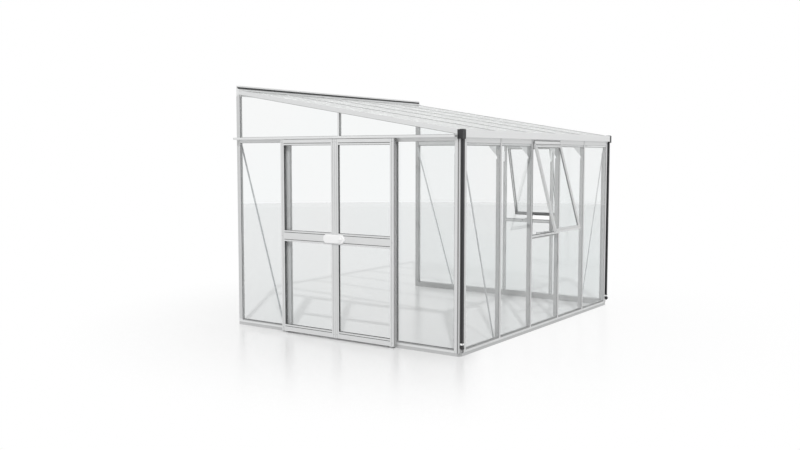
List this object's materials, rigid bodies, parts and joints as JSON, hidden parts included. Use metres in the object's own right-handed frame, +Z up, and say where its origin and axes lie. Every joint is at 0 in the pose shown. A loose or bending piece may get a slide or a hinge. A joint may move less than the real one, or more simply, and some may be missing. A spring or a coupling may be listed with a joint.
{
  "type": "lean-to greenhouse",
  "caption": "Glazed aluminium lean-to greenhouse with sliding doors, top-hung windows, twin-wall roof, gutter and downpipes, open towards the house wall.",
  "frame": {"origin": "bottom centre of the box round the whole greenhouse, on the ground", "axes": "+X along the eave from the door gable to the far gable, +Y from the eave side to the house wall, +Z up"},
  "size_m": [4.069, 3.2404, 2.718],
  "materials": {
    "aluminium_frame": "satin, slightly brushed along the bars",
    "wall_glass": "clear float glass with a faint grey-green tone",
    "roof_sheet": "translucent pale twin-wall sheet with lengthwise ribs",
    "black_plastic": "satin black",
    "white_plastic": "smooth white",
    "nylon": "matt off-white",
    "steel": "zinc-plated, satin"
  },
  "bodies": {
    "frame": {"base_frame": "aluminium_frame", "brace_door_gable": "steel", "brace_far_gable": "steel", "brace_front_door_end": "steel", "brace_front_far_end": "steel", "corner_post_door_end": "aluminium_frame", "corner_post_far_end": "aluminium_frame", "door_frame": "aluminium_frame", "door_gable_pane_corner": "wall_glass", "door_gable_pane_top": "wall_glass", "door_gable_pane_wall": "wall_glass", "downpipe_door_end": "black_plastic", "downpipe_far_end": "black_plastic", "eave_gutter_beam": "aluminium_frame", "far_gable_frame": "aluminium_frame", "far_gable_pane_corner": "wall_glass", "far_gable_pane_low": "wall_glass", "far_gable_pane_middle": "wall_glass", "far_gable_pane_top": "wall_glass", "far_gable_pane_wall": "wall_glass", "front_pane_1": "wall_glass", "front_pane_2": "wall_glass", "front_pane_3": "wall_glass", "front_pane_4": "wall_glass", "front_pane_5": "wall_glass", "front_post_1": "aluminium_frame", "front_post_2": "aluminium_frame", "front_post_3": "aluminium_frame", "front_post_4": "aluminium_frame", "front_window_sill": "aluminium_frame", "rafter_1": "aluminium_frame", "rafter_2": "aluminium_frame", "rafter_3": "aluminium_frame", "rafter_4": "aluminium_frame", "roof_panel_1": "roof_sheet", "roof_panel_2": "roof_sheet", "roof_panel_3": "roof_sheet", "roof_panel_4": "roof_sheet", "roof_panel_5": "roof_sheet", "verge_door_end": "aluminium_frame", "verge_far_end": "aluminium_frame", "wall_plate": "aluminium_frame", "wall_post_door_end": "aluminium_frame", "wall_post_far_end": "aluminium_frame"},
    "door_left": {"door_leaf_left": "aluminium_frame", "door_pane_left": "wall_glass", "lock_body": "white_plastic"},
    "door_right": {"door_leaf_right": "aluminium_frame", "door_pane_right": "wall_glass"},
    "roller_left_1": {"door_roller_left_1": "nylon"},
    "roller_left_2": {"door_roller_left_2": "nylon"},
    "roller_right_1": {"door_roller_right_1": "nylon"},
    "roller_right_2": {"door_roller_right_2": "nylon"},
    "lock_knob": {"lock_knob": "white_plastic"},
    "front_window": {"front_window_sash": "aluminium_frame", "front_window_pane": "wall_glass"},
    "front_stay": {"front_window_stay": "steel"},
    "far_window": {"far_window_sash": "aluminium_frame", "far_window_pane": "wall_glass"},
    "far_stay": {"far_window_stay": "steel"}
  },
  "joints": [
    {"name": "left_door_slide", "type": "slide", "parent": "frame", "child": "door_left", "axis": [0, 1, 0], "range_m": [0, 0.68]},
    {"name": "right_door_slide", "type": "slide", "parent": "frame", "child": "door_right", "axis": [0, -1, 0], "range_m": [0, 0.68]},
    {"name": "left_roller_1_turn", "type": "hinge", "parent": "door_left", "child": "roller_left_1", "pos_m": [-1.98845, 0.2655, 2.1218], "axis": [-1, 0, 0], "range_deg": [0, 4110]},
    {"name": "left_roller_2_turn", "type": "hinge", "parent": "door_left", "child": "roller_left_2", "pos_m": [-1.98845, 0.7935, 2.1218], "axis": [-1, 0, 0], "range_deg": [0, 4110]},
    {"name": "right_roller_1_turn", "type": "hinge", "parent": "door_right", "child": "roller_right_1", "pos_m": [-1.98845, -0.4855, 2.1218], "axis": [1, 0, 0], "range_deg": [0, 4110]},
    {"name": "right_roller_2_turn", "type": "hinge", "parent": "door_right", "child": "roller_right_2", "pos_m": [-1.98845, 0.0425, 2.1218], "axis": [1, 0, 0], "range_deg": [0, 4110]},
    {"name": "lock_knob_turn", "type": "hinge", "parent": "door_left", "child": "lock_knob", "pos_m": [-2.01855, 0.065, 1.065], "axis": [1, 0, 0], "range_deg": [0, 90]},
    {"name": "front_window_hinge", "type": "hinge", "parent": "frame", "child": "front_window", "pos_m": [-0.09095, -1.35275, 2.058], "axis": [-1, 0, 0], "range_deg": [-15, 5]},
    {"name": "front_stay_turn", "type": "hinge", "parent": "front_window", "child": "front_stay", "pos_m": [-0.06295, -1.58449, 1.11588], "axis": [-1, 0, 0], "range_deg": [-4, 10]},
    {"name": "far_window_hinge", "type": "hinge", "parent": "frame", "child": "far_window", "pos_m": [1.76705, -0.19725, 2.058], "axis": [0, -1, 0], "range_deg": [-15, 5]},
    {"name": "far_stay_turn", "type": "hinge", "parent": "far_window", "child": "far_stay", "pos_m": [1.99879, -0.16925, 1.11588], "axis": [0, -1, 0], "range_deg": [-4, 10]}
  ],
  "couplings": [
    {"joint": "left_roller_1_turn", "follows": "left_door_slide", "rad_per_m": 105.26},
    {"joint": "left_roller_2_turn", "follows": "left_door_slide", "rad_per_m": 105.26},
    {"joint": "right_roller_1_turn", "follows": "right_door_slide", "rad_per_m": 105.26},
    {"joint": "right_roller_2_turn", "follows": "right_door_slide", "rad_per_m": 105.26},
    {"joint": "front_stay_turn", "follows": "front_window_hinge", "ratio": -0.65},
    {"joint": "far_stay_turn", "follows": "far_window_hinge", "ratio": -0.65}
  ]
}
